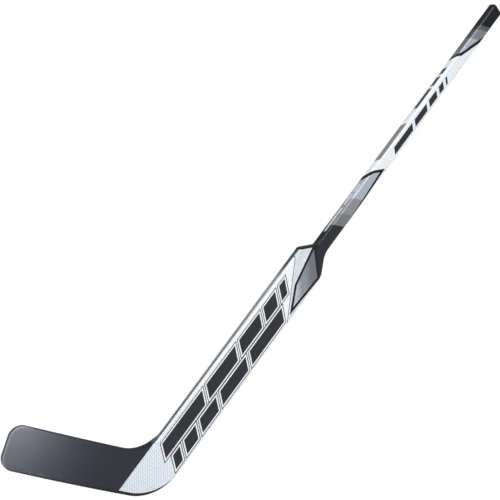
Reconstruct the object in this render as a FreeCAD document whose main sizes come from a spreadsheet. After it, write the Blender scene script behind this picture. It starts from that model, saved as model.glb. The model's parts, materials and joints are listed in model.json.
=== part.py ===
import FreeCAD, Part
import os
import Sketcher

# Hockey goalie stick in playing position, in millimetres.
# The sole lies on Z = 0, the blade's toe points to -X, the front face looks to -Y and
# the shaft leans towards +X. The origin is where the paddle's toe-side edge would meet the ice.
# Paddle and shaft are drawn upright (X to the heel side, Z up the shaft) and then leaned.

DRIVING_SIZES = (
    # the whole stick
    ("lean_angle", "23"),
    ("stick_length", "1375"),
    ("edge_radius", "3"),
    ("bond_gap", "0.1"),
    # paddle
    ("paddle_length", "635"),
    ("paddle_width", "89"),
    ("paddle_thickness", "19"),
    ("skin_thickness", "2"),
    ("edge_land", "3"),
    ("toe_shoulder_run", "32"),
    ("heel_shoulder_run", "42"),
    ("toe_shoulder_radius", "12"),
    ("heel_shoulder_radius", "34"),
    ("toe_neck_radius", "6"),
    ("heel_neck_radius", "48"),
    ("neck_land", "2"),
    ("neck_relief", "1"),
    ("heel_radius", "108"),
    ("foot_overhang", "5.8"),
    ("spine_width", "18"),
    ("heel_block_height", "145"),
    ("spine_inlet", "30"),
    # shaft
    ("shaft_width", "33"),
    ("shaft_thickness", "21"),
    ("shaft_corner_radius", "6.5"),
    ("shaft_wall", "2"),
    ("tenon_grip_length", "60"),
    ("tenon_foot_length", "90"),
    # socket in the shaft's end
    ("socket_floor_thickness", "4"),
    ("socket_spigot_length", "15"),
    # butt plug
    ("plug_cap_height", "9"),
    ("plug_dome_radius", "3.5"),
    ("plug_stem_length", "45"),
    ("plug_clearance", "0.3"),
    ("plug_rib_height", "1.2"),
    ("plug_rib_width", "3"),
    ("plug_rib_spacing", "12"),
    ("plug_rib_count", "3"),
    ("plug_tip_chamfer", "1.5"),
    ("plug_end_room", "1"),
    # blade
    ("blade_length", "358"),
    ("blade_height", "89"),
    ("blade_curve", "19"),
    ("blade_toe_thickness", "11"),
    ("curve_start", "4"),
    ("throat_radius", "82"),
    ("toe_top_radius", "27"),
    ("toe_bottom_radius", "26"),
    ("band_width", "5"),
    ("blade_skin", "1.5"),
    ("rib_height", "9"),
    ("rib_level", "44"),
    ("rib_tongue", "32"),
    ("sole_strip_height", "4"),
)

DERIVED_SIZES = (
    ("half_width", "=paddle_width / 2"),
    ("half_thickness", "=paddle_thickness / 2"),
    # heel corner: its rise up the shaft, and along the ice from the shaft's centre line
    ("heel_rise", "=half_width * tan(lean_angle)"),
    ("heel_reach", "=half_width / cos(lean_angle)"),
    ("toe_reach", "=blade_length - 2 * heel_reach"),
    # levels up the shaft
    ("neck_level", "=heel_rise + paddle_length"),
    ("neck_half", "=shaft_width / 2 - neck_relief"),
    ("toe_slope", "=atan((half_width - neck_half) / toe_shoulder_run)"),
    ("heel_slope", "=atan((half_width - neck_half) / heel_shoulder_run)"),
    ("shaft_foot", "=neck_level + heel_neck_radius * tan(heel_slope / 2) + neck_land"),
    ("butt_level", "=heel_rise + stick_length"),
    ("rim_level", "=butt_level - plug_cap_height"),
    ("socket_floor", "=rim_level - plug_stem_length - plug_end_room"),
    ("tube_top", "=socket_floor - socket_floor_thickness"),
    # sandwich of the paddle
    ("lip_depth", "=edge_radius + edge_land"),
    ("rail_height", "=paddle_thickness - 2 * lip_depth"),
    ("core_thickness", "=paddle_thickness - 2 * skin_thickness"),
    ("core_inset", "=skin_thickness + bond_gap"),
    ("foot_reach", "=half_width + foot_overhang"),
    # hollow of the shaft
    ("bore_width", "=shaft_width - 2 * shaft_wall"),
    ("bore_thickness", "=shaft_thickness - 2 * shaft_wall"),
    ("bore_corner_radius", "=shaft_corner_radius - shaft_wall"),
    # sweep of the blade: both faces leave the paddle's faces smoothly
    ("curve_run", "=toe_reach - curve_start"),
    ("thinning", "=(paddle_thickness - blade_toe_thickness) / 2"),
    ("front_drop", "=blade_curve + thinning"),
    ("back_drop", "=blade_curve - thinning"),
    ("front_sweep", "=(curve_run ^ 2 + front_drop ^ 2) / (2 * front_drop)"),
    ("back_sweep", "=(curve_run ^ 2 + back_drop ^ 2) / (2 * back_drop)"),
    ("blade_inset", "=band_width + bond_gap"),
    ("rib_bottom", "=rib_level - rib_height / 2"),
    ("rib_top", "=rib_level + rib_height / 2"),
)

doc = FreeCAD.newDocument("goalie_stick")
sheet = doc.addObject("Spreadsheet::Sheet", "Sizes")
for row, (alias, content) in enumerate(DRIVING_SIZES + DERIVED_SIZES, 1):
    sheet.set(f"A{row}", alias)
    sheet.set(f"B{row}", content)
    sheet.setAlias(f"B{row}", alias)
doc.recompute()

TINY = 1e-3
LEAN = "placement(vector(Sizes.heel_reach; 0; 0); rotation(vector(0; 1; 0); Sizes.lean_angle))"


def size(expression):
    """Present value of an expression on the sheet."""
    found = sheet.evalExpression(expression)
    return float(getattr(found, "Value", found))


def new_body(label, leaned):
    body = doc.addObject("PartDesign::Body", label)
    if leaned:
        body.setExpression("Placement", LEAN)
    return body


def new_sketch(body, role, offset="0"):
    """Sketch on one of the body's own planes, moved along the plane's normal."""
    sketch = body.newObject("Sketcher::SketchObject", "sketch")
    plane = [part for part in body.Origin.OriginFeatures if part.Role == role][0]
    sketch.AttachmentSupport = [(plane, "")]
    sketch.MapMode = "FlatFace"
    sketch.setExpression("AttachmentOffset.Base.z", offset)
    return sketch


def bind(sketch, kind, geometry, point, expression):
    """Holds one coordinate of a point at a distance from the sketch's origin."""
    constraint = Sketcher.Constraint(kind, -1, 1, geometry, point, size(expression))
    index = sketch.addConstraint(constraint)
    sketch.setExpression(f"Constraints[{index}]", expression)


def draw_outline(sketch, corners):
    """Straight sides through corners, each a pair of expressions."""
    places = [FreeCAD.Vector(size(across), size(up), 0) for across, up in corners]
    count = len(places)
    for index in range(count):
        sketch.addGeometry(Part.LineSegment(places[index], places[(index + 1) % count]))
    for index, (across, up) in enumerate(corners):
        sketch.addConstraint(Sketcher.Constraint("Coincident", index, 2, (index + 1) % count, 1))
        bind(sketch, "DistanceX", index, 1, across)
        bind(sketch, "DistanceY", index, 1, up)


def rectangle(width, height):
    half_across = f"({width}) / 2"
    half_up = f"({height}) / 2"
    return (
        (f"-{half_across}", f"-{half_up}"),
        (half_across, f"-{half_up}"),
        (half_across, half_up),
        (f"-{half_across}", half_up),
    )


def octagon(width, height, corner):
    """Rectangle with its corners cut at 45 degrees."""
    across = f"({width}) / 2"
    up = f"({height}) / 2"
    return (
        (f"-{across} + {corner}", f"-{up}"),
        (f"{across} - {corner}", f"-{up}"),
        (across, f"-{up} + {corner}"),
        (across, f"{up} - {corner}"),
        (f"{across} - {corner}", up),
        (f"-{across} + {corner}", up),
        (f"-{across}", f"{up} - {corner}"),
        (f"-{across}", f"-{up} + {corner}"),
    )


def pad(body, sketch, length, sides="One side", backwards=False):
    feature = body.newObject("PartDesign::Pad", "pad")
    feature.Profile = sketch
    feature.SideType = sides
    feature.Reversed = backwards
    feature.setExpression("Length", length)
    doc.recompute()
    return feature


def side_pad(body, corners, thickness):
    """Outline seen from the front, thickened evenly to both sides."""
    sketch = new_sketch(body, "XZ_Plane")
    draw_outline(sketch, corners)
    return pad(body, sketch, thickness, "Symmetric")


def cross_pad(body, corners, level, length, backwards=False):
    """Cross-section of the shaft, drawn at a level and run up or down it."""
    sketch = new_sketch(body, "XY_Plane", level)
    draw_outline(sketch, corners)
    return pad(body, sketch, length, "One side", backwards)


def cut_through(body, sketch):
    """Removes the sketch's area right through the body, both ways."""
    before = body.Tip.Shape.Volume
    feature = body.newObject("PartDesign::Pocket", "pocket")
    feature.Profile = sketch
    feature.Type = "ThroughAll"
    feature.SideType = "Symmetric"
    doc.recompute()
    if not feature.Shape.Volume < before:
        raise RuntimeError(f"{body.Label}: a cut removes nothing")
    return feature


def side_cut(body, corners):
    sketch = new_sketch(body, "XZ_Plane")
    draw_outline(sketch, corners)
    return cut_through(body, sketch)


def edge_names(feature, chosen):
    return [f"Edge{number}" for number, edge in enumerate(feature.Shape.Edges, 1) if chosen(edge)]


def middle(edge):
    return edge.valueAt((edge.FirstParameter + edge.LastParameter) / 2)


def round_edges(body, chosen, radius):
    base = body.Tip
    names = edge_names(base, chosen)
    if not names:
        raise RuntimeError(f"{body.Label}: no edge to round")
    feature = body.newObject("PartDesign::Fillet", "fillet")
    feature.Base = (base, names)
    feature.setExpression("Radius", radius)
    doc.recompute()
    return feature


def round_side_corner(body, corner, radius):
    """Rounds the edge that runs through the thickness at a corner of the outline."""
    across, up = size(corner[0]), size(corner[1])

    def chosen(edge):
        place = middle(edge)
        start, end = edge.Vertexes[0].Point, edge.Vertexes[-1].Point
        through = abs(start.x - end.x) < TINY and abs(start.z - end.z) < TINY
        return through and abs(place.x - across) < TINY and abs(place.z - up) < TINY

    return round_edges(body, chosen, radius)


def runs_up(edge):
    start, end = edge.Vertexes[0].Point, edge.Vertexes[-1].Point
    return abs(start.x - end.x) < TINY and abs(start.y - end.y) < TINY


# Outlines of the upright paddle, as seen from the front


def paddle_corners(inset):
    """The paddle's outline moved inwards; the toe side reaches out under the blade's throat."""
    toe_edge = f"-(Sizes.half_width - {inset})"
    heel_edge = f"(Sizes.half_width - {inset})"
    toe_neck = f"-(Sizes.neck_half - {inset})"
    heel_neck = f"(Sizes.neck_half - {inset})"
    toe_drop = f"{inset} * tan(Sizes.toe_slope / 2)"
    heel_drop = f"{inset} * tan(Sizes.heel_slope / 2)"
    far_toe = "-(Sizes.half_width + Sizes.throat_radius)"
    sole = f"{inset} / cos(Sizes.lean_angle)"
    blade_top = f"(Sizes.blade_height - {inset}) / cos(Sizes.lean_angle)"
    return {
        "far_sole": (far_toe, f"{far_toe} * tan(Sizes.lean_angle) + {sole}"),
        "heel": (heel_edge, f"{heel_edge} * tan(Sizes.lean_angle) + {sole}"),
        "heel_shoulder": (heel_edge, f"Sizes.neck_level - Sizes.heel_shoulder_run - {heel_drop}"),
        "heel_neck": (heel_neck, f"Sizes.neck_level - {heel_drop}"),
        "heel_top": (heel_neck, "Sizes.shaft_foot"),
        "toe_top": (toe_neck, "Sizes.shaft_foot"),
        "toe_neck": (toe_neck, f"Sizes.neck_level - {toe_drop}"),
        "toe_shoulder": (toe_edge, f"Sizes.neck_level - Sizes.toe_shoulder_run - {toe_drop}"),
        "throat": (toe_edge, f"{toe_edge} * tan(Sizes.lean_angle) + {blade_top}"),
        "far_top": (far_toe, f"{far_toe} * tan(Sizes.lean_angle) + {blade_top}"),
    }


def round_shoulder(body, corners, side, inset):
    """Rounds the slope between the paddle's edge and the neck at both its ends."""
    round_side_corner(body, corners[f"{side}_shoulder"], f"Sizes.{side}_shoulder_radius - {inset}")
    round_side_corner(body, corners[f"{side}_neck"], f"Sizes.{side}_neck_radius + {inset}")


def round_paddle_outline(body, corners, inset):
    """Rounds heel, throat, shoulders and neck about the same centres, whatever the inset."""
    round_side_corner(body, corners["heel"], f"Sizes.heel_radius - {inset}")
    round_side_corner(body, corners["throat"], f"Sizes.throat_radius + {inset}")
    for side in ("heel", "toe"):
        round_shoulder(body, corners, side, inset)


def paddle_form(label, inset, near, depth, sides):
    """Leaned slab with the paddle's outline, from a depth in front of the middle plane."""
    body = new_body(label, True)
    sketch = new_sketch(body, "XZ_Plane", near)
    corners = paddle_corners(inset)
    draw_outline(sketch, tuple(corners.values()))
    pad(body, sketch, depth, sides)
    round_paddle_outline(body, corners, inset)
    return body


def trim_foot(body):
    """Ends an upright piece on the sole strip and on the blade's joint line."""
    wide = "2 * Sizes.paddle_length"
    strip = "Sizes.sole_strip_height / cos(Sizes.lean_angle)"
    side_cut(body, (
        (f"-{wide}", f"-{wide} * tan(Sizes.lean_angle) + {strip}"),
        (f"-{wide}", f"-{wide}"),
        (wide, f"-{wide}"),
        (wide, f"{wide} * tan(Sizes.lean_angle) + {strip}"),
    ))
    side_cut(body, (
        ("-Sizes.foot_reach", f"-{wide}"),
        ("-Sizes.foot_reach", wide),
        (f"-{wide}", wide),
        (f"-{wide}", f"-{wide}"),
    ))


def finish(feature, label):
    feature.Label = label
    doc.recompute()
    return feature


def hollowed(label, outer, inner):
    """Outer form less inner form."""
    feature = doc.addObject("Part::Cut", label)
    feature.Base = outer
    feature.Tool = inner
    return finish(feature, label)


# Paddle


def make_front_skin():
    outer = paddle_form("front_skin_form", "0", "Sizes.rail_height / 2", "Sizes.lip_depth", "One side")
    front = -size("Sizes.half_thickness")
    far_toe = size("-(Sizes.half_width + Sizes.throat_radius)")
    top = size("Sizes.shaft_foot")

    def front_edge(edge):
        place = middle(edge)
        on_front = all(abs(corner.Y - front) < TINY for corner in edge.Vertexes)
        return on_front and place.z < top - TINY and place.x > far_toe + TINY

    round_edges(outer, front_edge, "Sizes.edge_radius")
    trim_foot(outer)
    depth = "Sizes.lip_depth - Sizes.skin_thickness"
    inner = paddle_form("front_skin_hollow", "Sizes.skin_thickness", "0",
                        f"Sizes.rail_height / 2 + {depth}", "One side")
    return hollowed("paddle_front_skin", outer, inner)


def make_back_skin(front_skin):
    feature = doc.addObject("Part::Mirroring", "paddle_back_skin")
    feature.Source = front_skin
    feature.Normal = FreeCAD.Vector(0, 1, 0)
    return finish(feature, "paddle_back_skin")


def make_rail(label, limit, other_side):
    """Edge strip between the laminates' lips, on one side of a limit across the paddle."""
    outer = paddle_form(f"{label}_form", "0", "0", "Sizes.rail_height", "Symmetric")
    trim_foot(outer)
    wide = "2 * Sizes.stick_length"
    side_cut(outer, (
        (limit, f"-{wide}"),
        (limit, wide),
        (f"{other_side} * {wide}", wide),
        (f"{other_side} * {wide}", f"-{wide}"),
    ))
    inner = paddle_form(f"{label}_hollow", "Sizes.skin_thickness", "0", "2 * Sizes.rail_height", "Symmetric")
    return hollowed(label, outer, inner)


def make_heel_block():
    body = paddle_form("heel_block", "Sizes.core_inset", "0", "Sizes.core_thickness", "Symmetric")
    trim_foot(body)
    wide = "2 * Sizes.stick_length"
    side_cut(body, (
        (f"-{wide}", "Sizes.heel_block_height"),
        (wide, "Sizes.heel_block_height"),
        (wide, wide),
        (f"-{wide}", wide),
    ))
    inlet_half = "(Sizes.spine_width / 2 + Sizes.bond_gap)"
    inlet_floor = "Sizes.heel_block_height - Sizes.spine_inlet"
    side_cut(body, (
        (f"-{inlet_half}", inlet_floor),
        (inlet_half, inlet_floor),
        (inlet_half, "Sizes.stick_length"),
        (f"-{inlet_half}", "Sizes.stick_length"),
    ))
    side_cut(body, rib_tongue_corners("Sizes.bond_gap"))
    return finish(body, "heel_block")


def rib_tongue_corners(gap):
    """Tongue of the blade's rib, level with the ice, in the paddle's upright view."""
    start = "-(Sizes.foot_reach + Sizes.rib_height)"
    end = f"(-Sizes.foot_reach + Sizes.rib_tongue + {gap})"
    low = f"(Sizes.rib_bottom - {gap}) / cos(Sizes.lean_angle)"
    high = f"(Sizes.rib_top + {gap}) / cos(Sizes.lean_angle)"
    return (
        (start, f"{start} * tan(Sizes.lean_angle) + {low}"),
        (end, f"{end} * tan(Sizes.lean_angle) + {low}"),
        (end, f"{end} * tan(Sizes.lean_angle) + {high}"),
        (start, f"{start} * tan(Sizes.lean_angle) + {high}"),
    )


def make_spine():
    body = new_body("paddle_spine", True)
    half = "Sizes.spine_width / 2"
    foot = "Sizes.heel_block_height - Sizes.spine_inlet"
    top = "Sizes.shaft_foot - Sizes.tenon_foot_length"
    side_pad(body, ((f"-{half}", foot), (half, foot), (half, top), (f"-{half}", top)), "Sizes.core_thickness")
    return finish(body, "paddle_spine")


def make_paddle_core(label, side, direction):
    """Foam between spine and edge, from the heel block to the neck; direction is 1 on the heel side."""
    body = new_body(label, True)
    corners = paddle_corners("Sizes.core_inset")
    inner = f"{direction} * (Sizes.spine_width / 2 + Sizes.bond_gap)"
    side_pad(body, (
        (inner, "Sizes.heel_block_height"),
        (corners[f"{side}_shoulder"][0], "Sizes.heel_block_height"),
        corners[f"{side}_shoulder"],
        corners[f"{side}_neck"],
        corners[f"{side}_top"],
        (inner, "Sizes.shaft_foot"),
    ), "Sizes.core_thickness")
    round_shoulder(body, corners, side, "Sizes.core_inset")
    return finish(body, label)


# Shaft


def make_shaft_tube():
    body = new_body("shaft_tube", True)
    length = "Sizes.tube_top - Sizes.shaft_foot"
    cross_pad(body, rectangle("Sizes.shaft_width", "Sizes.shaft_thickness"), "Sizes.shaft_foot", length)
    round_edges(body, runs_up, "Sizes.shaft_corner_radius")
    sketch = new_sketch(body, "XY_Plane", "Sizes.shaft_foot")
    draw_outline(sketch, rectangle("Sizes.bore_width", "Sizes.bore_thickness"))
    cut_through(body, sketch)
    half_width = size("Sizes.bore_width / 2")
    half_thickness = size("Sizes.bore_thickness / 2")

    def bore_corner(edge):
        place = middle(edge)
        return abs(abs(place.x) - half_width) < TINY and abs(abs(place.y) - half_thickness) < TINY

    round_edges(body, bore_corner, "Sizes.bore_corner_radius")
    return finish(body, "shaft_tube")


def make_shaft_core():
    body = new_body("shaft_core", True)
    foot = "Sizes.shaft_foot + Sizes.tenon_grip_length"
    top = "Sizes.tube_top - Sizes.socket_spigot_length"
    section = rectangle("Sizes.bore_width - 2 * Sizes.bond_gap", "Sizes.bore_thickness - 2 * Sizes.bond_gap")
    cross_pad(body, section, foot, f"{top} - ({foot})")
    round_edges(body, runs_up, "Sizes.bore_corner_radius - Sizes.bond_gap")
    return finish(body, "shaft_core")


def make_tenon():
    body = new_body("shaft_tenon", True)
    section = rectangle("Sizes.bore_width - 2 * Sizes.bond_gap", "Sizes.bore_thickness - 2 * Sizes.bond_gap")
    cross_pad(body, section, "Sizes.shaft_foot", "Sizes.tenon_grip_length")
    round_edges(body, runs_up, "Sizes.bore_corner_radius - Sizes.bond_gap")
    cross_pad(body, rectangle("Sizes.spine_width", "Sizes.core_thickness"), "Sizes.shaft_foot",
              "Sizes.tenon_foot_length", True)
    return finish(body, "shaft_tenon")


def make_end_socket():
    """End of the shaft: a spigot glued into the tube below, and an open socket for the plug above."""
    outer = new_body("end_socket_form", True)
    cross_pad(outer, rectangle("Sizes.shaft_width", "Sizes.shaft_thickness"), "Sizes.tube_top",
              "Sizes.rim_level - Sizes.tube_top")
    round_edges(outer, runs_up, "Sizes.shaft_corner_radius")
    gap = "2 * Sizes.bond_gap"
    spigot = octagon(f"Sizes.bore_width - {gap}", f"Sizes.bore_thickness - {gap}", "Sizes.bore_corner_radius")
    cross_pad(outer, spigot, "Sizes.tube_top", "Sizes.socket_spigot_length", True)
    inner = new_body("end_socket_hollow", True)
    cross_pad(inner, rectangle("Sizes.bore_width", "Sizes.bore_thickness"), "Sizes.socket_floor",
              "Sizes.butt_level - Sizes.socket_floor")
    round_edges(inner, runs_up, "Sizes.bore_corner_radius")
    return hollowed("shaft_end_socket", outer, inner)


def make_butt_plug():
    body = new_body("butt_plug", True)
    cross_pad(body, rectangle("Sizes.shaft_width", "Sizes.shaft_thickness"), "Sizes.rim_level",
              "Sizes.plug_cap_height")
    round_edges(body, runs_up, "Sizes.shaft_corner_radius")
    top = size("Sizes.butt_level")
    round_edges(body, lambda edge: abs(middle(edge).z - top) < TINY, "Sizes.plug_dome_radius")
    recess = "2 * (Sizes.plug_clearance + Sizes.plug_rib_height)"
    corner = "Sizes.bore_corner_radius"
    stem = octagon(f"Sizes.bore_width - {recess}", f"Sizes.bore_thickness - {recess}", corner)
    cross_pad(body, stem, "Sizes.rim_level", "Sizes.plug_stem_length", True)
    tip = size("Sizes.rim_level - Sizes.plug_stem_length")
    base = body.Tip
    chamfer = body.newObject("PartDesign::Chamfer", "chamfer")
    chamfer.Base = (base, edge_names(base, lambda edge: abs(middle(edge).z - tip) < TINY))
    chamfer.setExpression("Size", "Sizes.plug_tip_chamfer")
    doc.recompute()
    slack = "2 * Sizes.plug_clearance"
    rib = octagon(f"Sizes.bore_width - {slack}", f"Sizes.bore_thickness - {slack}", corner)
    first = cross_pad(body, rib, "Sizes.rim_level - Sizes.plug_rib_spacing / 2", "Sizes.plug_rib_width", True)
    pattern = body.newObject("PartDesign::LinearPattern", "ribs")
    pattern.Originals = [first]
    pattern.Direction = (first.Profile[0], ["N_Axis"])
    pattern.Reversed = True
    pattern.setExpression("Occurrences", "Sizes.plug_rib_count")
    pattern.setExpression("Length", "Sizes.plug_rib_spacing * (Sizes.plug_rib_count - 1)")
    body.Tip = pattern
    return finish(body, "butt_plug")


# Blade, drawn where it stands


def leaned_edge(distance, height):
    """Place along the ice of a line beside the shaft's axis, at a height above the ice."""
    return f"Sizes.heel_reach - ({distance}) / cos(Sizes.lean_angle) + ({height}) * tan(Sizes.lean_angle)"


def blade_corners(inset):
    """The blade's outline moved inwards at toe, top and throat, with a piece of the paddle."""
    toe = f"-(Sizes.toe_reach - {inset})"
    top = f"(Sizes.blade_height - {inset})"
    toe_edge = f"Sizes.half_width - {inset}"
    ridge = "(Sizes.blade_height + Sizes.throat_radius)"
    return {
        "toe_bottom": (toe, "0"),
        "foot": (leaned_edge("0", "0"), "0"),
        "foot_top": (leaned_edge("0", ridge), ridge),
        "edge_top": (leaned_edge(toe_edge, ridge), ridge),
        "throat": (leaned_edge(toe_edge, top), top),
        "toe_top": (toe, top),
    }


def blade_form(label, inset):
    """Slab with the blade's outline, thick enough to cut the curve from."""
    body = new_body(label, False)
    corners = blade_corners(inset)
    side_pad(body, tuple(corners.values()), "4 * (Sizes.paddle_thickness + Sizes.blade_curve)")
    round_side_corner(body, corners["throat"], f"Sizes.throat_radius + {inset}")
    round_side_corner(body, corners["toe_top"], f"Sizes.toe_top_radius - {inset}")
    round_side_corner(body, corners["toe_bottom"], f"Sizes.toe_bottom_radius - {inset}")
    return body


def curve_cut(body, flat, sweep, radius, far):
    """Cuts along a line seen from above: flat beside the paddle, then an arc to beyond the toe.

    flat is how far back the straight stretch lies, sweep where the arc's centre lies, and far the
    side that is removed."""
    sketch = new_sketch(body, "XY_Plane")
    heel_end = "2 * Sizes.paddle_length"
    start = "-Sizes.curve_start"
    toe_end = "-(Sizes.toe_reach + Sizes.band_width)"
    centre = FreeCAD.Vector(size(start), size(sweep), 0)
    arc_radius = size(radius)
    across = size(toe_end) - centre.x
    junction = centre + FreeCAD.Vector(0, -arc_radius, 0)
    toe_point = centre + FreeCAD.Vector(across, -(arc_radius ** 2 - across ** 2) ** 0.5, 0)
    right = size(heel_end)
    beyond = size(far)
    corners = (
        FreeCAD.Vector(right, junction.y, 0),
        junction,
        toe_point,
        FreeCAD.Vector(toe_point.x, beyond, 0),
        FreeCAD.Vector(right, beyond, 0),
    )
    bulge = centre + (junction + toe_point - centre - centre).normalize() * arc_radius
    sketch.addGeometry(Part.LineSegment(corners[0], corners[1]))
    sketch.addGeometry(Part.Arc(toe_point, bulge, junction))
    sketch.addGeometry(Part.LineSegment(corners[2], corners[3]))
    sketch.addGeometry(Part.LineSegment(corners[3], corners[4]))
    sketch.addGeometry(Part.LineSegment(corners[4], corners[0]))
    for first, second in (((0, 2), (1, 2)), ((1, 1), (2, 1)), ((2, 2), (3, 1)), ((3, 2), (4, 1)), ((4, 2), (0, 1))):
        sketch.addConstraint(Sketcher.Constraint("Coincident", *first, *second))
    bind(sketch, "DistanceX", 0, 1, heel_end)
    bind(sketch, "DistanceY", 0, 1, flat)
    bind(sketch, "DistanceX", 1, 2, start)
    bind(sketch, "DistanceY", 1, 2, flat)
    bind(sketch, "DistanceX", 1, 3, start)
    bind(sketch, "DistanceY", 1, 3, sweep)
    bind(sketch, "DistanceX", 1, 1, toe_end)
    bind(sketch, "DistanceX", 2, 2, toe_end)
    bind(sketch, "DistanceY", 2, 2, far)
    bind(sketch, "DistanceX", 3, 2, heel_end)
    bind(sketch, "DistanceY", 3, 2, far)
    return cut_through(body, sketch)


def cut_from_front(body, depth):
    """Removes what lies in front of the blade's front face, moved back by depth."""
    sweep = "Sizes.front_sweep - Sizes.half_thickness"
    curve_cut(body, f"{depth} - Sizes.half_thickness", sweep, f"Sizes.front_sweep - {depth}", "-Sizes.paddle_length")


def cut_behind_front(body, depth):
    """Removes what lies behind the blade's front face, moved back by depth."""
    sweep = "Sizes.front_sweep - Sizes.half_thickness"
    curve_cut(body, f"{depth} - Sizes.half_thickness", sweep, f"Sizes.front_sweep - {depth}", "Sizes.paddle_length")


def cut_from_back(body, depth):
    """Removes what lies behind the blade's back face, moved forwards by depth."""
    sweep = "Sizes.back_sweep + Sizes.half_thickness"
    curve_cut(body, f"Sizes.half_thickness - {depth}", sweep, f"Sizes.back_sweep + {depth}", "Sizes.paddle_length")


def cut_before_back(body, depth):
    """Removes what lies in front of the blade's back face, moved forwards by depth."""
    sweep = "Sizes.back_sweep + Sizes.half_thickness"
    curve_cut(body, f"Sizes.half_thickness - {depth}", sweep, f"Sizes.back_sweep + {depth}", "-Sizes.paddle_length")


def cut_level(body, level, beyond):
    """Removes everything from a level to beyond it."""
    wide = "2 * Sizes.stick_length"
    side_cut(body, ((f"-{wide}", level), (wide, level), (wide, beyond), (f"-{wide}", beyond)))


def cut_paddle_side(body, reach):
    """Removes what lies past the joint line between blade and paddle."""
    far = "2 * Sizes.stick_length"
    side_cut(body, (
        (leaned_edge(reach, f"-{far}"), f"-{far}"),
        (leaned_edge(reach, far), far),
        (f"3 * {far}", far),
        (f"3 * {far}", f"-{far}"),
    ))


def laminate_edge(body):
    """Chooser of the edges where the blade's faces meet its sole, toe, top and throat."""
    shape = body.Tip.Shape
    joint = size(leaned_edge("0", "0"))
    lean = size("tan(Sizes.lean_angle)")
    ridge = max(corner.Z for corner in shape.Vertexes)

    def chosen(edge):
        place = middle(edge)
        if place.z > ridge - TINY:
            return False
        if abs(place.x - joint - place.z * lean) < TINY:
            return False
        across = [abs(face.normalAt(0, 0).y) for face in shape.ancestorsOfType(edge, Part.Face)]
        return max(across) > 0.5 and min(across) < 0.5

    return chosen


def make_edge_band():
    outer = blade_form("edge_band_form", "0")
    cut_from_front(outer, "0")
    cut_from_back(outer, "0")
    round_edges(outer, laminate_edge(outer), "Sizes.edge_radius")
    cut_level(outer, "Sizes.sole_strip_height", "-Sizes.stick_length")
    cut_paddle_side(outer, "Sizes.foot_reach")
    inner = blade_form("edge_band_hollow", "Sizes.band_width")
    return hollowed("blade_edge_band", outer, inner)


def blade_filling(label, low, high):
    """Slab inside the edge band, from one level to another, up to the joint line."""
    body = blade_form(label, "Sizes.blade_inset")
    cut_level(body, low, "-Sizes.stick_length")
    if high:
        cut_level(body, high, "Sizes.stick_length")
    return body


def make_blade_skins():
    front = blade_filling("blade_front_skin", "Sizes.sole_strip_height", "")
    cut_paddle_side(front, "Sizes.foot_reach")
    cut_from_front(front, "0")
    cut_behind_front(front, "Sizes.blade_skin")
    back = blade_filling("blade_back_skin", "Sizes.sole_strip_height", "")
    cut_paddle_side(back, "Sizes.foot_reach")
    cut_from_back(back, "0")
    cut_before_back(back, "Sizes.blade_skin")
    return finish(front, "blade_front_skin"), finish(back, "blade_back_skin")


def make_blade_core(label, low, high):
    body = blade_filling(label, low, high)
    cut_paddle_side(body, "Sizes.foot_reach")
    depth = "(Sizes.blade_skin + Sizes.bond_gap)"
    cut_from_front(body, depth)
    cut_from_back(body, depth)
    return finish(body, label)


def make_blade_rib():
    """Spar along the blade; its tongue runs past the joint line into the heel block."""
    body = blade_filling("blade_rib", "Sizes.rib_bottom", "Sizes.rib_top")
    cut_paddle_side(body, "Sizes.foot_reach - Sizes.rib_tongue")
    depth = "Sizes.skin_thickness + Sizes.bond_gap"
    cut_from_front(body, f"({depth})")
    cut_from_back(body, f"({depth})")
    return finish(body, "blade_rib")


def make_sole_strip():
    """Wear strip along the whole sole, thinning out where the heel turns up."""
    body = new_body("sole_strip", False)
    toe = "-Sizes.toe_reach"
    heel = ("2 * Sizes.heel_reach", "0")
    toe_bottom = (toe, "0")
    side_pad(body, (
        toe_bottom,
        heel,
        ("2 * Sizes.heel_reach + Sizes.heel_radius * tan(Sizes.lean_angle)", "Sizes.heel_radius"),
        (toe, "Sizes.heel_radius"),
    ), "4 * (Sizes.paddle_thickness + Sizes.blade_curve)")
    round_side_corner(body, heel, "Sizes.heel_radius")
    round_side_corner(body, toe_bottom, "Sizes.toe_bottom_radius")
    cut_from_front(body, "0")
    cut_from_back(body, "0")
    round_edges(body, laminate_edge(body), "Sizes.edge_radius")
    cut_level(body, "Sizes.sole_strip_height", "Sizes.stick_length")
    return finish(body, "sole_strip")


front_skin = make_front_skin()
pieces = [
    make_shaft_tube(),
    make_shaft_core(),
    make_tenon(),
    make_end_socket(),
    make_butt_plug(),
    front_skin,
    make_back_skin(front_skin),
    make_rail("toe_side_rail", "-Sizes.spine_width / 2", 1),
    make_rail("heel_side_rail", "0", -1),
    make_spine(),
    make_paddle_core("paddle_core_toe_side", "toe", -1),
    make_paddle_core("paddle_core_heel_side", "heel", 1),
    make_heel_block(),
    make_edge_band(),
    *make_blade_skins(),
    make_blade_core("blade_core_lower", "Sizes.sole_strip_height", "Sizes.rib_bottom"),
    make_blade_core("blade_core_upper", "Sizes.rib_top", ""),
    make_blade_rib(),
    make_sole_strip(),
]
doc.recompute()

for thing in doc.Objects:
    if "Invalid" in thing.State or "Error" in thing.State:
        raise RuntimeError(f"{thing.Label} failed: {thing.State}")
for piece in pieces:
    shape = piece.Shape
    if shape.isNull() or not shape.isValid() or len(shape.Solids) != 1:
        raise RuntimeError(f"{piece.Label} is not one sound solid")

os.makedirs("parts", exist_ok=True)
for piece in pieces:
    piece.Shape.exportStep(f"parts/{piece.Label}.step")
    print(f"{piece.Label}: {piece.Shape.Volume / 1000:.1f} cm3")
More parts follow.
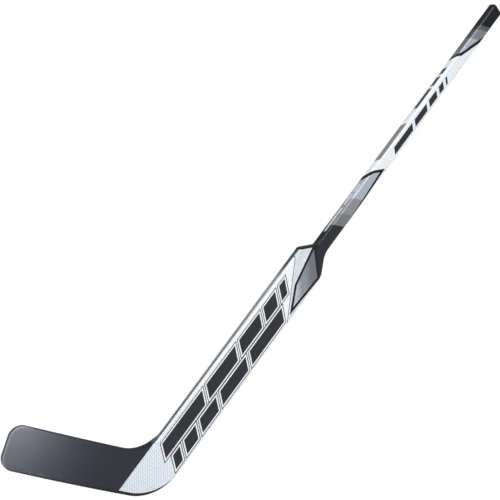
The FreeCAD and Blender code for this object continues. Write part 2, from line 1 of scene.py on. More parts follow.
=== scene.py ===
# %% [markdown]
# # A hockey goalie stick, dressed for a catalogue picture
#
# A goalie stick is three tools in one: a slim hollow shaft for the hand, a wide flat paddle that stops
# the puck, and a curved blade that stays on the ice. Its shapes come ready from the CAD model, so this
# lesson is about finishes: lacquered cloth, printed bands, rubbed edges, foam and wood. Loading the packed
# model first puts every piece in metres in one frame, with the sole on Z = 0, the toe along -X and the
# decorated face looking along -Y.

# %% Load the stick
import json
import math

import bpy
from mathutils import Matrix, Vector

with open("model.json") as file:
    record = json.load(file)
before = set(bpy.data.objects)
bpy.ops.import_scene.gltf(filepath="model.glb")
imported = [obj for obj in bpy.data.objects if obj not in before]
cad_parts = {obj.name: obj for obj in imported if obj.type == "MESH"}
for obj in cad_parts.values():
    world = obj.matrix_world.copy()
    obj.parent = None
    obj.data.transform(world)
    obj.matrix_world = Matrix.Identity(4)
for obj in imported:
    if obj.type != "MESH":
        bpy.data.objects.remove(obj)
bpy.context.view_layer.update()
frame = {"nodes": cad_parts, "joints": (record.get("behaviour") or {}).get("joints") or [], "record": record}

# %% [markdown]
# ## Colours, as a printer would name them
#
# A colour picker shows screen values from 0 to 255, while a shader counts linear light. One helper turns
# the first into the second, so that the colours below can be read and compared with a picture. The
# Standard view transform is chosen because it shows a colour as it was written.

# %% Screen colours
bpy.context.scene.view_settings.view_transform = "Standard"


def ink(red, green, blue):
    """A colour in screen values, as the linear colour that a shader takes."""
    def linear(value):
        value /= 255
        return value / 12.92 if value <= 0.04045 else ((value + 0.055) / 1.055) ** 2.4
    return linear(red), linear(green), linear(blue), 1.0


WHITE_CLOTH = ink(250, 253, 254)
BLUE_SHADE = ink(148, 188, 228)
CHARCOAL = ink(27, 29, 39)
BLADE_CLOTH = ink(32, 36, 47)
BLACK = ink(18, 19, 27)
JET = ink(8, 10, 24)
print("white cloth in linear light:", [round(value, 3) for value in WHITE_CLOTH])

# %% [markdown]
# ## Shader maths that reads like maths
#
# Prints with sharp edges are best drawn with distances: how far is this point from that line? In the node
# editor each plus and minus is a node of its own, which soon hides the idea. A small class that wraps a
# socket lets Python's operators place those nodes, so a formula stays one line.

# %% A socket with operators
class Wire:
    """A shader socket that takes part in Python expressions."""

    def __init__(self, tree, socket=None):
        self.tree = tree
        self.socket = socket

    def node(self, kind, settings=None, inputs=None, output=0):
        """Adds a node: settings first, then the values or links of its sockets."""
        made = self.tree.nodes.new(kind)
        for name, value in (settings or {}).items():
            setattr(made, name, value)
        for name, value in (inputs or {}).items():
            if isinstance(value, Wire):
                self.tree.links.new(value.socket, made.inputs[name])
            else:
                made.inputs[name].default_value = value
        return Wire(self.tree, made.outputs[output])

    def outlet(self, name):
        """Another output of the same node."""
        return Wire(self.tree, self.socket.node.outputs[name])

    def maths(self, operation, *values):
        return self.node("ShaderNodeMath", {"operation": operation}, dict(enumerate(values)))

    def __add__(self, other):
        return self.maths("ADD", self, other)

    def __sub__(self, other):
        return self.maths("SUBTRACT", self, other)

    def __rsub__(self, other):
        return self.maths("SUBTRACT", other, self)

    def __mul__(self, other):
        return self.maths("MULTIPLY", self, other)

    def __mod__(self, other):
        return self.maths("FLOORED_MODULO", self, other)

    def __abs__(self):
        return self.maths("ABSOLUTE", self)

    __radd__ = __add__
    __rmul__ = __mul__


print("operators ready: + - * % abs")

# %% [markdown]
# ## Masks and layers
#
# A print is built in layers, as on a press: a mask says where an ink goes, and the ink covers what is
# below. `share` turns a distance into a mask with a soft edge of chosen width, which keeps lines smooth in
# a small picture. Colours are mixed with a Mix node, since a Math node would turn them grey.

# %% Helpers for layers
def share(value, low, high):
    """0 up to low, 1 from high on, and a straight slope between them."""
    return value.node("ShaderNodeMapRange", inputs={"Value": value, "From Min": low, "From Max": high})


def past(value, level, soft=0.4):
    """0 below a level and 1 above it, with a soft edge."""
    return share(value, level - soft, level + soft)


def lowest(first, *others):
    for other in others:
        first = first.maths("MINIMUM", first, other)
    return first


def highest(first, *others):
    for other in others:
        first = first.maths("MAXIMUM", first, other)
    return first


def inked(mask, below, above):
    """The colour above where the mask is 1, over the colour below."""
    return mask.node("ShaderNodeMix", {"data_type": "RGBA"}, {0: mask, 6: below, 7: above}, output=2)


def dimmed(colour, amount):
    """One ink made lighter or darker by a factor that varies over the surface."""
    return amount.node("ShaderNodeVectorMath", {"operation": "SCALE"}, {0: colour[:3], "Scale": amount})


print("layers ready")

# %% [markdown]
# ## A place on the stick, in millimetres
#
# The shaft leans over the ice, so its printed lines follow its own length and not the world's axes. A
# Mapping node turns Object coordinates upright: *across* runs from the blade's side to the heel's side,
# *front* comes out of the decorated face, and *up* is the way along the shaft from the ice. The lean is
# read from the joint of the butt plug, which slides along the same line.

# %% The stick's own directions
MILLIMETRES = 1000.0
shaft_line = frame["joints"][0]["axis"]
LEAN = math.atan2(shaft_line[0], shaft_line[2])
PADDLE_HALF = 44.5
FOOT = PADDLE_HALF / math.cos(LEAN)


def ice_place(start):
    """Object coordinates in millimetres, unturned."""
    place = start.node("ShaderNodeTexCoord", output="Object")
    return start.node("ShaderNodeMapping", inputs={"Vector": place, "Scale": (MILLIMETRES,) * 3})


def stick_place(start):
    """Object coordinates in millimetres, turned so that Z runs up the shaft's middle."""
    place = start.node("ShaderNodeTexCoord", output="Object")
    return start.node("ShaderNodeMapping", inputs={
        "Vector": place,
        "Location": (-PADDLE_HALF, 0, -FOOT * math.sin(LEAN)),
        "Rotation": (0, -LEAN, 0),
        "Scale": (MILLIMETRES,) * 3,
    })


def directions(place):
    """The three coordinates of a place: across or x, front (towards the viewer), up or z."""
    x = place.node("ShaderNodeSeparateXYZ", inputs={0: place})
    return x, x.outlet("Y") * -1, x.outlet("Z")


print("lean of the shaft:", round(math.degrees(LEAN), 2), "degrees")

# %% [markdown]
# ## Woven cloth under lacquer
#
# The skins are cloth set in resin. Looked at closely, tows as wide as a match go over and under each other,
# and each crossing catches the light its own way. A plain weave needs no picture: two sets of slanted
# stripes, a chessboard that says which set is on top, and a rounded crown along each tow. Its pitch is how
# far apart the crossings are, sideways and lengthways. The white cloth is laid on askew, so the sum of up
# and across takes the place of up there.

# %% Weave, speckle and streaks
WHITE_PITCH = (6.3, 7.4)


def cloth_weave(first, second, pitch):
    """How high a plain weave stands (0 to 1), and which set of tows is on top (0 or 1)."""
    warp = first * (1 / pitch[0]) + second * (1 / pitch[1])
    weft = first * (1 / pitch[0]) - second * (1 / pitch[1])
    upper = (warp.maths("FLOOR", warp) + weft.maths("FLOOR", weft)) % 2
    warp_crown = warp.maths("SINE", warp.maths("FRACT", warp) * math.pi)
    weft_crown = weft.maths("SINE", weft.maths("FRACT", weft) * math.pi)
    return weft_crown + upper * (warp_crown - weft_crown), upper


def white_cloth(height, upper, shade, tint=0.0):
    """White tows with a cool shade, from 0 to 1, where they dip under each other, and a tint all over."""
    return inked((0.56 - height * 0.12) * (1 - upper) * shade + tint, WHITE_CLOTH, BLUE_SHADE)


def speckle(place, size, detail=3.0):
    """Random variation from 0 to 1 in grains of a size in millimetres."""
    return place.node("ShaderNodeTexNoise", inputs={"Vector": place, "Scale": 1 / size, "Detail": detail})


def streaks(place, size, squeeze):
    """The same grains drawn out to streaks along the axes that are squeezed."""
    drawn = place.node("ShaderNodeMapping", inputs={"Vector": place, "Scale": squeeze})
    return speckle(drawn, size)


print("weave, speckle and streaks ready")

# %% [markdown]
# ## Starting and joining a finish
#
# Every finish here is one Principled shader. What is the same all over, such as the strength of its
# reflections, is set on its sockets. What changes from place to place is linked: colour, roughness, the
# raised pattern and the clear coat of lacquer. Black ink gets no lacquer and is left rough, since it would
# mirror the white room at a flat angle and look grey.

# %% Start and join
LACQUER = 0.05
LACQUER_ROUGHNESS = 0.22
MATT_ROUGHNESS = 0.5


def new_finish(name, specular):
    """A new material, and a wire to start its nodes from."""
    material = bpy.data.materials.new(name)
    material.use_nodes = True
    shader = material.node_tree.nodes["Principled BSDF"]
    shader.inputs["Coat Roughness"].default_value = LACQUER_ROUGHNESS
    shader.inputs["Specular IOR Level"].default_value = specular
    return material, Wire(material.node_tree)


def lacquered(matt):
    """The clear coat, everywhere but on the matt ink."""
    return {"Coat Weight": LACQUER - matt * LACQUER}


def join_finish(material, colour, roughness, height, depth, more=None):
    """Links the varying parts; the raised pattern is that many millimetres deep."""
    raised = height.node("ShaderNodeBump", inputs={"Distance": depth / MILLIMETRES, "Height": height})
    shader = material.node_tree.nodes["Principled BSDF"]
    linked = {"Base Color": colour, "Roughness": roughness, "Normal": raised, **(more or {})}
    for name, wire in linked.items():
        material.node_tree.links.new(wire.socket, shader.inputs[name])
    print(material.name, "has", len(material.node_tree.nodes), "nodes")


# %% [markdown]
# ## Lines and bands for the print
#
# The print on such a stick is a play of slanted bars. A convex shape is the overlap of half-planes, so its
# distance is the smallest distance to its sides. A long band with slanted ends and slanted breaks works
# the same way, and the one distance then gives the bar, the white margin round it and the fine line
# outside that margin.

# %% Shapes for the print
def side_of(across, up, start, end):
    """Distance in millimetres to the left of the line from start to end."""
    run, rise = end[0] - start[0], end[1] - start[1]
    length = math.hypot(run, rise)
    shift = (start[0] * rise - start[1] * run) / length
    return across * (-rise / length) + up * (run / length) + shift


def broken_band(width_way, slanted, sides, ends, breaks, gap, steep):
    """Distance inside a band between two sides and two slanted ends, cut by slanted gaps."""
    middle, half = sum(sides) / 2, (sides[1] - sides[0]) / 2
    parts = [half - abs(width_way - middle), (slanted - ends[0]) * steep, (ends[1] - slanted) * steep]
    parts += [(abs(slanted - place) - gap / 2) * steep for place in breaks]
    return lowest(*parts)


def within(distance, low, high, soft):
    """A mask of the strip between two distances."""
    return past(distance, low, soft) * past(distance, high, -soft)


def oblique(across, front, up, sideways, forwards):
    """Height up the stick, counted from planes that rise sideways and forwards by these slopes."""
    return up - across * sideways - front * forwards


print("shapes ready")

# %% [markdown]
# ## The paddle's laminate
#
# The paddle is white cloth under a satin lacquer. Two rows of charcoal bars run up it, one row growing
# shorter and the other longer, each bar inside a white margin and a hairline. Higher up come a pinstripe,
# a grey panel with a black border, and the dark shoulder that leads into the shaft. All of it depends on
# across and up only, so the back gets the same print.

# %% Print of the paddle
RAKE = 0.6
STEEP = 1 / math.hypot(1, RAKE)
BAR_GAP = 15
TOE_ROW = {"sides": (-33, -3.5), "ends": (92, 526), "breaks": (236, 352, 440, 498)}
HEEL_ROW = {"sides": (6, 34), "ends": (112, 500), "breaks": (143, 197, 269, 375)}
MARGIN = 2.8
HAIRLINE = (-5.1, -3.1)
PINSTRIPE = [(-PADDLE_HALF, 597), (PADDLE_HALF, 480)]
PANEL_CORNERS = [(30.5, 517), (36, 603.5), (-16.8, 641), (3.8, 556.5)]
PANEL_BORDER = 6.1


def paddle_bars(across, up):
    """Distance inside the two rows of slanted bars."""
    slanted = up + across * RAKE
    rows = [broken_band(across, slanted, gap=BAR_GAP, steep=STEEP, **row) for row in (TOE_ROW, HEEL_ROW)]
    return highest(*rows)


def paddle_print(across, up, cloth, brushed):
    """The layers of ink up to the dark shoulder, the upper ones brushed, and a mask of the panel's border."""
    bars = paddle_bars(across, up)
    colour = inked(within(bars, *HAIRLINE, soft=0.3), cloth, ink(56, 58, 64))
    colour = inked(past(bars, -MARGIN, 0.2), colour, WHITE_CLOTH)
    colour = inked(past(bars, 0), colour, inked(brushed * 0.12, CHARCOAL, ink(96, 99, 110)))
    pinstripe = side_of(across, up, *PINSTRIPE)
    colour = inked(share(pinstripe, 0, 0.5) * (0.25 + brushed * 0.55), colour, ink(180, 194, 206))
    colour = inked(past(abs(pinstripe), 0.8, -0.3), colour, ink(92, 94, 100))
    sides = [side_of(across, up, *ends) for ends in zip(PANEL_CORNERS, PANEL_CORNERS[1:] + PANEL_CORNERS[:1])]
    panel, below_shoulder = lowest(*sides), sides[1]
    border, inside = past(panel, -PANEL_BORDER), past(panel, 0)
    colour = inked(border, colour, BLACK)
    tone = inked(share(below_shoulder, 44, 62), ink(148, 155, 163), ink(208, 213, 224))
    tone = inked(share(below_shoulder, 14, 34), ink(116, 118, 122), tone)
    tone = inked(brushed * 0.45, tone, ink(96, 100, 108))
    colour = inked(inside, colour, tone)
    shoulder = lowest(below_shoulder * -1, sides[2] + 5.2)
    return inked(past(shoulder, 0), colour, CHARCOAL), border * (1 - inside)


print("bars and panel drawn with", len(PANEL_CORNERS), "corners")

# %% [markdown]
# At the foot the black of the sole follows the heel's turn and fades out as a thin crescent, which is what
# a circle a little smaller than the heel leaves uncovered. On the other side the blade's charcoal runs on
# round the paddle's edge for a finger's width and tapers out, the back skin's edge is grey like the rail
# beside it, and a black line follows the slanted shoulder. The rim is where lacquer goes first, so the
# rounded edge gets small grey chips.

# %% Finish of the paddle
FOOT_CIRCLE = {"x": 23.2, "z": 122.9, "radius": 116.1}
CRESCENT_TOP = 64
THROAT_WIDTH = 37.6
THROAT_SLOPE = 0.28
THROAT_MOST = 8.9
BROW = [(-PADDLE_HALF, 621.9), (-15.5, 653.9)]
BROW_WIDTH = 3.6


def heel_crescent(place):
    """A mask of what lies outside the circle that bounds the white foot."""
    x, _, z = directions(place)
    beside = highest(x - FOOT_CIRCLE["x"], 0)
    below = z - FOOT_CIRCLE["z"]
    outwards = beside.maths("SQRT", beside * beside + below * below)
    return past(outwards, FOOT_CIRCLE["radius"]) * past(z, CRESCENT_TOP, -2)


def throat_taper(across, front, up):
    """A mask of the charcoal on the paddle's toe-side edge, which thins out up the paddle."""
    limit = lowest(THROAT_WIDTH - up * THROAT_SLOPE, THROAT_MOST)
    return share(limit - abs(front), 0, 0.4) * share(across, -42, -43.5)


def rail_tone(up):
    """The grey of the paddle's edge: paler up the paddle, and black at the shoulder."""
    colour = inked(share(up, 80, 500), ink(74, 76, 83), ink(166, 168, 173))
    colour = inked(share(up, 535, 570) * 0.8, colour, CHARCOAL)
    return inked(share(up, 606, 620), colour, BLACK)


def paddle_finish():
    """White cloth with the print, the foot's crescent, the throat's taper and the chipped rim."""
    material, start = new_finish("white_paddle_laminate", specular=0.25)
    place = stick_place(start)
    across, front, up = directions(place)
    askew = up + across
    height, upper = cloth_weave(across, askew, WHITE_PITCH)
    grain = speckle(place, 1.2)
    brushed = share(streaks(place, 2.0, (1, 1, 0.08)), 0.45, 0.65)
    cloth = white_cloth(height, upper, 0.15 + share(up, 460, 60) * 0.95)
    colour, border = paddle_print(across, up, cloth, brushed)
    colour = inked(heel_crescent(ice_place(start)), colour, BLACK)
    wall = share(across, -43.4, -44.2) * share(front, -3.0, -3.4)
    colour = inked(wall * share(front + share(up, 280, 520) * 3.2, -4.3, -3.7), colour, rail_tone(up))
    colour = inked(throat_taper(across, front, up), colour, BLADE_CLOTH)
    brow = past(side_of(across, up, *BROW), -BROW_WIDTH) * share(up, 656, 654)
    colour = inked(brow, colour, BLACK)
    rim = share(abs(front), 8.6, 6.6) * share(speckle(place, 5.0), 0.56, 0.66)
    colour = inked(rim * 0.55, colour, ink(120, 122, 126))
    matt = highest(border, brow)
    roughness = 0.30 + grain * 0.10 + rim * 0.25 + matt * MATT_ROUGHNESS
    join_finish(material, colour, roughness, height * 0.7 + grain * 0.3, 0.05, lacquered(matt))
    return material


paddle_laminate = paddle_finish()

# %% [markdown]
# ## The dark rails
#
# Between the two skins an edge strip closes the paddle all round. It is pultruded: its fibres run along
# the edge, so it shows fine lengthwise streaks and wears to a paler grey. At the shoulder it is black and
# dull.

# %% Finish of the rails
def rail_finish():
    """Grey fibres along the edge."""
    material, start = new_finish("dark_edge_rail", specular=0.25)
    place = stick_place(start)
    fibres = streaks(place, 0.6, (1, 1, 0.03))
    wear_and_painted_highlight = share(streaks(place, 4.0, (1, 1, 0.2)), 0.52, 0.72)
    _, _, up = directions(place)
    colour = inked(fibres * 0.5, rail_tone(up), CHARCOAL)
    colour = inked(wear_and_painted_highlight * share(up, 570, 535) * 0.4, colour, ink(124, 126, 132))
    join_finish(material, colour, 0.42 + fibres * 0.2 + share(up, 560, 610) * 0.35, fibres, 0.06)
    return material


edge_laminate = rail_finish()

# %% [markdown]
# ## The blade's laminate
#
# The blade is charcoal cloth, finer than the paddle's, under a satin coat that spreads a lamp's reflection
# into a broad sheen. On its faces that sheen comes from the roughness and the lamps. Pucks and ice leave
# short scratches along the blade, most of them low down and at the toe. The rounded band round the blade
# is the same cloth, but its rounded edge that faces the front has a painted highlight, a paler grey towards
# the toe. Along the top its rounding has painted shade in black, and is dull.

# %% Finish of the blade
def blade_finish(name, wear_and_painted_highlight=0.0):
    """Charcoal cloth with scratches; a share above 0 paints a highlight on the front rounding, shade on the
    top.
    """
    material, start = new_finish(name, specular=0.3)
    place = ice_place(start)
    x, _, z = directions(place)
    height, upper = cloth_weave(x, z, (3.1, 3.1))
    grain = speckle(place, 0.8)
    scratches = share(streaks(place, 2.5, (0.05, 1, 1)), 0.58, 0.70)
    low_down = highest(share(z, 26, 4), share(x, -225, -262) * 0.6)
    worn = scratches * low_down
    colour = dimmed(BLADE_CLOTH, 0.88 + upper * 0.12 + height * 0.10)
    colour = inked(worn * 0.35, colour, ink(98, 101, 108))
    roughness = 0.40 + grain * 0.08 + worn * 0.12
    if wear_and_painted_highlight:
        _, facing, rising = directions(start.node("ShaderNodeNewGeometry", output="Normal"))
        rounding = share(facing, 0.0, 0.3) * share(facing, 0.99, 0.90)
        upturned = share(rising, 0.2, 0.7) * share(x, -245, -215)
        # Painted highlight: the band's rounding that faces the front is painted a paler grey towards the toe.
        painted_highlight = share(x, -60, -250) * rounding * (1 - upturned * 0.6)
        colour = inked(painted_highlight * wear_and_painted_highlight, colour, ink(106, 110, 120))
        # Painted shade: the rounding that faces up is painted black, and it is also made rougher.
        colour = inked(upturned * 0.7, colour, BLACK)
        roughness = roughness + upturned * MATT_ROUGHNESS
    join_finish(material, colour, roughness, height * 0.6 + grain * 0.4, 0.04)
    return material


blade_laminate = blade_finish("charcoal_blade_laminate")
band_laminate = blade_finish("charcoal_band_laminate", wear_and_painted_highlight=0.75)

# %% [markdown]
# ## The wear strip
#
# A tough black strip runs along the whole sole and takes the rubbing. Its finish is the dullest on the
# stick, with long pale scratches along the way that it slides.

# %% Finish of the wear strip
def sole_finish():
    """Dull black with scratches along the sole."""
    material, start = new_finish("black_wear_strip", specular=0.25)
    place = ice_place(start)
    _, _, z = directions(place)
    lines = streaks(place, 1.0, (0.02, 1, 1))
    worn = share(lines, 0.5, 0.7) * share(z, 3.6, 0.2)
    colour = inked(worn * 0.6, dimmed(BLACK, 0.8 + lines * 0.4), ink(92, 93, 97))
    join_finish(material, colour, 0.55 + lines * 0.2, lines, 0.08)
    return material


sole_wear = sole_finish()

# %% [markdown]
# ## The shaft's laminate
#
# The shaft carries the print on: dark out of the paddle, three grey steps, a long panel that ends in a
# slanted black line, then white cloth, and at the butt silver steps and black. The silver is a paint with
# metal flakes, so it is a little metallic and the rounded corner shines on it. Lines that are oblique in
# space, with a bit of across and a bit of front in them, wrap round the rounded corners by themselves, as
# a wrapped decal does.

# %% Print of the shaft
ROOT_STEPS = (717.75, 750.25, 794.75)
STEP_SOFT = 0.75
WEDGE_LINE = (865.4, 875.1)
BUTT_CUT = (1242.5, 1253.5)
BUTT_STEPS = ((1289, ink(122, 129, 136)), (1318, ink(84, 88, 92)), (1331, JET))


def shaft_steps(across, front, up, height, cloth):
    """From the dark root through silver steps to the white cloth, with masks of silver and black lines."""
    slanted = oblique(across, front, up, 0.6, 0.4)
    first, second, third = [past(slanted, level, STEP_SOFT) for level in ROOT_STEPS]
    colour = inked(first, CHARCOAL, ink(118, 120, 124))
    colour = inked(second, colour, ink(138, 140, 145))
    colour = inked(third, colour, dimmed(ink(172, 178, 187), 0.9 + 0.2 * height))
    wedge = oblique(across, front, up, 1.12, 1.2)
    silver = first * past(wedge, WEDGE_LINE[0], -0.4)
    thicker = share(across, -9, -15) * 6
    lines = highest(past(across + up * 0.0763, 70.2), past(wedge + thicker, WEDGE_LINE[0]))
    beyond = highest(past(wedge, WEDGE_LINE[1]), past(across + up * 0.0507, 53.8))
    return inked(beyond, inked(lines, colour, BLACK), cloth), silver, lines * (1 - beyond)


def shaft_butt(across, front, up, colour):
    """A slanted black line and silver steps up to the black end, painted shade on the narrow faces, and masks
    of silver and black line.
    """
    slanted = oblique(across, front, up, 0.68, 0.4)
    cut = up - highest(across, -7) * 3.08 - lowest(across + 7, 0) * 0.9 - front * 1.1
    line = past(cut, BUTT_CUT[0], 1.5)
    colour = inked(line, colour, BLACK)
    above = past(cut - share(across, -13, -4) * 13, BUTT_CUT[1], 1.5)
    colour = inked(above, colour, ink(170, 176, 186))
    for level, tone in BUTT_STEPS:
        colour = inked(past(slanted, level, 1) * above, colour, tone)
    # Painted shade: above the cut, the narrow faces are painted darker towards jet at their outer edges.
    painted_flank_shade = share(abs(across), 12.5, 16.0)
    colour = inked(painted_flank_shade * above * 0.6, colour, JET)
    return colour, above * past(slanted, BUTT_STEPS[-1][0], -1), line * (1 - above)


print("shaft print:", len(ROOT_STEPS), "grey steps at the root,", len(BUTT_STEPS), "steps at the butt")

# %% [markdown]
# On the white stretch the wide faces carry a row of slanted dashes that grow shorter towards the butt, and
# the narrow faces carry a grey bar and two rows of fine dashes. They are the paddle's broken bands again,
# only smaller.

# %% Dashes on the shaft
WIDE_DASHES = {"sides": (-6.5, 8.5), "ends": (944, 1166), "breaks": (1024, 1084, 1126, 1154), "gap": 10}
NARROW_RAKE = 0.7
NARROW_STEEP = 1 / math.hypot(1, NARROW_RAKE)
NARROW_GAP = 8
NARROW_ROWS = (
    ({"sides": (-5.5, 7.5), "ends": (898, 1008), "breaks": ()}, ink(136, 136, 139)),
    ({"sides": (-3, 5.5), "ends": (1056, 1184), "breaks": (1122, 1160)}, CHARCOAL),
    ({"sides": (-1, 4.5), "ends": (690, 826), "breaks": (762, 802)}, ink(214, 219, 225)),
)


def shaft_dashes(across, front, up, colour):
    """The dashes on the wide faces, then the rows on the narrow ones."""
    wide = broken_band(across, up + across * RAKE, steep=STEEP, **WIDE_DASHES)
    colour = inked(past(wide, 0), colour, CHARCOAL)
    narrow = share(abs(across), 13.9, 14.6)
    slanted = up - front * NARROW_RAKE
    for row, tone in NARROW_ROWS:
        dashes = broken_band(front, slanted, gap=NARROW_GAP, steep=NARROW_STEEP, **row)
        colour = inked(past(dashes, 0) * narrow, colour, tone)
    return colour


def shaft_finish():
    """White cloth with the print, a little metallic where the print is silver, and matt where it is black."""
    material, start = new_finish("white_shaft_laminate", specular=0.25)
    place = stick_place(start)
    across, front, up = directions(place)
    askew = up + across
    height, upper = cloth_weave(across + front, askew, WHITE_PITCH)
    grain = speckle(place, 1.2)
    cloth = white_cloth(height, upper, 0.16, 0.10)
    colour, silver_root, lines_root = shaft_steps(across, front, up, height, cloth)
    colour = shaft_dashes(across, front, up, colour)
    colour, silver_butt, line_butt = shaft_butt(across, front, up, colour)
    handled = share(speckle(place, 9.0), 0.5, 0.7)
    matt_edge = share(abs(across), 15.2, 16.2) * highest(share(up, 725, 705), share(up, 1236, 1246))
    matt_end = share(abs(across), 13.0, 11.5) * share(up, 1322, 1334)
    matt = highest(matt_edge, matt_end, lines_root, line_butt)
    roughness = 0.30 + grain * 0.08 + handled * 0.08 + matt * MATT_ROUGHNESS
    more = {"Metallic": (silver_root + silver_butt) * 0.2, **lacquered(matt)}
    join_finish(material, colour, roughness, height * 0.7 + grain * 0.3, 0.03, more)
    return material


shaft_laminate = shaft_finish()

# %% [markdown]
# ## The butt plug
#
# The plug is moulded in black plastic with a spark-eroded grain, which feels dry in a glove. A fine noise
# as bump and a high roughness give that look; the palm polishes the dome a little.

# %% Finish of the plug
def plug_finish():
    """Black plastic with a fine grain."""
    material, start = new_finish("black_plug_plastic", specular=0.1)
    place = stick_place(start)
    _, _, up = directions(place)
    grain = speckle(place, 0.35, 2.0)
    polished = share(up, 1364, 1371)
    colour = dimmed(ink(22, 22, 26), 0.85 + grain * 0.3)
    join_finish(material, colour, 0.58 + grain * 0.1 - polished * 0.12, grain, 0.05)
    return material


plug_plastic = plug_finish()

# %% [markdown]
# ## Foam inside
#
# Nobody sees the cores in a finished stick, but they are real pieces. Rigid foam shows closed cells where
# it is cut, which a Voronoi texture draws well: its distance to the nearest edge is a mask of the walls.

# %% Finish of the foam
def foam_finish():
    """Pale foam with the walls of its cells."""
    material, start = new_finish("core_foam", specular=0.25)
    place = ice_place(start)
    cell = place.node("ShaderNodeTexVoronoi", {"feature": "DISTANCE_TO_EDGE"},
                      {"Vector": place, "Scale": 0.7})
    wall = share(cell, 0.16, 0.02)
    tint = speckle(place, 12.0)
    colour = inked(wall * 0.6, dimmed(ink(226, 212, 170), 0.9 + tint * 0.2), ink(244, 235, 205))
    join_finish(material, colour, 0.85 + wall * 0.1, wall, 0.15)
    return material


foam = foam_finish()

# %% [markdown]
# ## Wood inside
#
# The stiffeners are straight-grained hardwood. A Wave texture stretched along the stick gives the growth
# rings, and streaks of noise give the fine dark pores, which are cut in a little by the bump.

# %% Finish of the wood
def wood_finish():
    """Hardwood with growth rings and pores."""
    material, start = new_finish("stiffener_hardwood", specular=0.3)
    place = stick_place(start)
    grown = place.node("ShaderNodeMapping", inputs={"Vector": place, "Scale": (1, 1, 0.04)})
    rings = grown.node("ShaderNodeTexWave", {"wave_type": "BANDS", "bands_direction": "X"},
                       {"Vector": grown, "Scale": 0.12, "Distortion": 3.0, "Detail": 2.0,
                        "Detail Scale": 0.4}, 1)
    pores = share(streaks(place, 0.5, (1, 1, 0.02)), 0.6, 0.72)
    colour = inked(rings, ink(206, 170, 118), ink(184, 142, 92))
    colour = inked(pores * 0.5, colour, ink(120, 84, 50))
    join_finish(material, colour, 0.6 + pores * 0.15, rings * 0.4 - pores, 0.06)
    return material


stiffener_wood = wood_finish()

# %% [markdown]
# ## Dressing the pieces
#
# The record says which finish each CAD piece is made of, so the finishes are handed out by that name, and
# the blade's band, with its painted highlight and painted shade, gets its own. A piece keeps its mesh and its
# place, and only the material in its slot is changed.

# %% Hand out the finishes
FINISHES = {
    "paddle_laminate": paddle_laminate, "edge_laminate": edge_laminate, "blade_laminate": blade_laminate,
    "sole_wear": sole_wear, "shaft_laminate": shaft_laminate, "plug_plastic": plug_plastic,
    "foam": foam, "stiffener_wood": stiffener_wood,
}
for piece in frame["record"]["subparts"]:
    node = frame["nodes"][piece["node"]]
    node.data.materials.clear()
    is_band = piece["node"] == "blade_edge_band"
    node.data.materials.append(band_laminate if is_band else FINISHES[piece["material_slot"]])

# %% [markdown]
# ## A white sweep
#
# A catalogue picture stands on a white sweep. The floor is a big plain sheet, and to the camera and to
# glossy surfaces it glows almost white by itself, with just enough lit paint left in it to keep the soft
# shadow. The world does the same: white where it is seen, and a plain level of light everywhere else.

# %% Floor and background
def seen_directly(start):
    """1 for rays from the camera, mirrors and glass, and 0 for rays that carry light."""
    seen = start.node("ShaderNodeLightPath", output="Is Camera Ray")
    return highest(seen, seen.outlet("Is Glossy Ray"), seen.outlet("Is Transmission Ray"))


def floor_finish():
    """A lit sheet for the light, and a glowing one with little paint for the eye."""
    material = bpy.data.materials.new("white_sweep")
    material.use_nodes = True
    material.node_tree.nodes.remove(material.node_tree.nodes["Principled BSDF"])
    start = Wire(material.node_tree)
    lit = start.node("ShaderNodeBsdfDiffuse", inputs={"Color": (0.8, 0.8, 0.8, 1)})
    thin = start.node("ShaderNodeBsdfDiffuse", inputs={"Color": (0.14, 0.14, 0.14, 1)})
    glow = start.node("ShaderNodeEmission", inputs={"Color": (1, 1, 1, 1), "Strength": 0.95})
    shown = start.node("ShaderNodeAddShader", inputs={0: thin, 1: glow})
    mixed = start.node("ShaderNodeMixShader", inputs={0: seen_directly(start), 1: lit, 2: shown})
    material.node_tree.links.new(mixed.socket, material.node_tree.nodes["Material Output"].inputs["Surface"])
    return material


bpy.ops.mesh.primitive_plane_add(size=30, location=(0, 0, -0.0005))
floor = bpy.context.object
floor.name = "floor"
floor.data.materials.append(floor_finish())

WORLD_LIGHT = 0.5
world = bpy.data.worlds.new("white_studio")
world.use_nodes = True
bpy.context.scene.world = world
air = Wire(world.node_tree)
background = world.node_tree.nodes["Background"]
background.inputs["Color"].default_value = (1, 1, 1, 1)
level = WORLD_LIGHT + seen_directly(air) * (1 - WORLD_LIGHT)
world.node_tree.links.new(level.socket, background.inputs["Strength"])
print("floor and white background set; world light", WORLD_LIGHT)

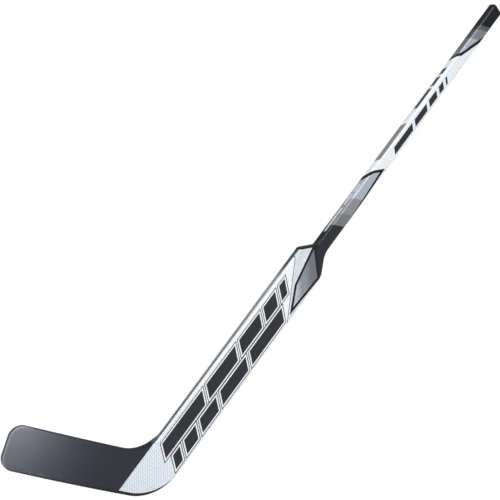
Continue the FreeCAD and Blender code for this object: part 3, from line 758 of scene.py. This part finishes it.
# %% [markdown]
# ## Soft lamps
#
# Five softboxes shape the stick. A large one in front gives the faces their level of light, a smaller one
# on the viewer's left lifts the edges that look that way, and one behind does the same for the back; gloss
# doesn't see that one, so no bright rim shows from the front. One high on the left is mirrored in the
# shaft's rounded corner as a bright line; only gloss sees it, so it adds no light to the colours. A small
# one low in front of the blade, with a grid that keeps its light off the paddle, is caught by the satin
# laminate: the blade is curved, so the toe reflects it and the heel doesn't, which draws the curve in one
# long fade.

# %% Softboxes
def softbox(name, place, target, size, power, spread=180):
    """An area lamp that points at a target, unseen."""
    lamp = bpy.data.lights.new(name, "AREA")
    lamp.shape = "RECTANGLE"
    lamp.size, lamp.size_y = size
    lamp.energy = power
    lamp.spread = math.radians(spread)
    holder = bpy.data.objects.new(name, lamp)
    bpy.context.collection.objects.link(holder)
    holder.location = place
    holder.visible_camera = False
    holder.rotation_euler = (Vector(target) - Vector(place)).to_track_quat("-Z", "Y").to_euler()
    print(name, "of", power, "W at", place)
    return holder


softbox("front_softbox", (-0.7, -2.1, 1.5), (0.25, 0, 0.6), (1.4, 1.4), 28)
softbox("side_softbox", (-1.7, -0.5, 0.45), (0.15, 0, 0.3), (0.7, 0.7), 4)
back_fill = softbox("back_softbox", (1.2, 2.1, 1.5), (0.25, 0, 0.6), (1.4, 1.4), 26)
back_fill.visible_glossy = False
corner_lamp = softbox("edge_softbox", (-0.15, -1.25, 2.40), (0.45, 0, 0.95), (1.0, 1.0), 25)
corner_lamp.visible_diffuse = False
softbox("blade_softbox", (-0.22, -0.55, 0.12), (-0.31, 0.02, 0.07), (0.2, 0.12), 0.45, 45)

# %% [markdown]
# ## The camera
#
# The picture was taken from the toe's side, a little below the middle of the stick, with the stick running
# from corner to corner. A long lens from two and a half metres keeps the far butt nearly as large as the
# near blade. The camera is rolled so that the stick lies on the diagonal.

# %% Camera
eye = bpy.data.cameras.new("camera")
eye.lens = 83.569
eye.sensor_width = 36.0
camera = bpy.data.objects.new("camera", eye)
bpy.context.collection.objects.link(camera)
camera.location = (-1.3201, -1.9370, 0.4254)
camera.rotation_euler = [math.radians(angle) for angle in (93.043, -18.126, -37.713)]
bpy.context.scene.camera = camera
print("camera at", list(camera.location))
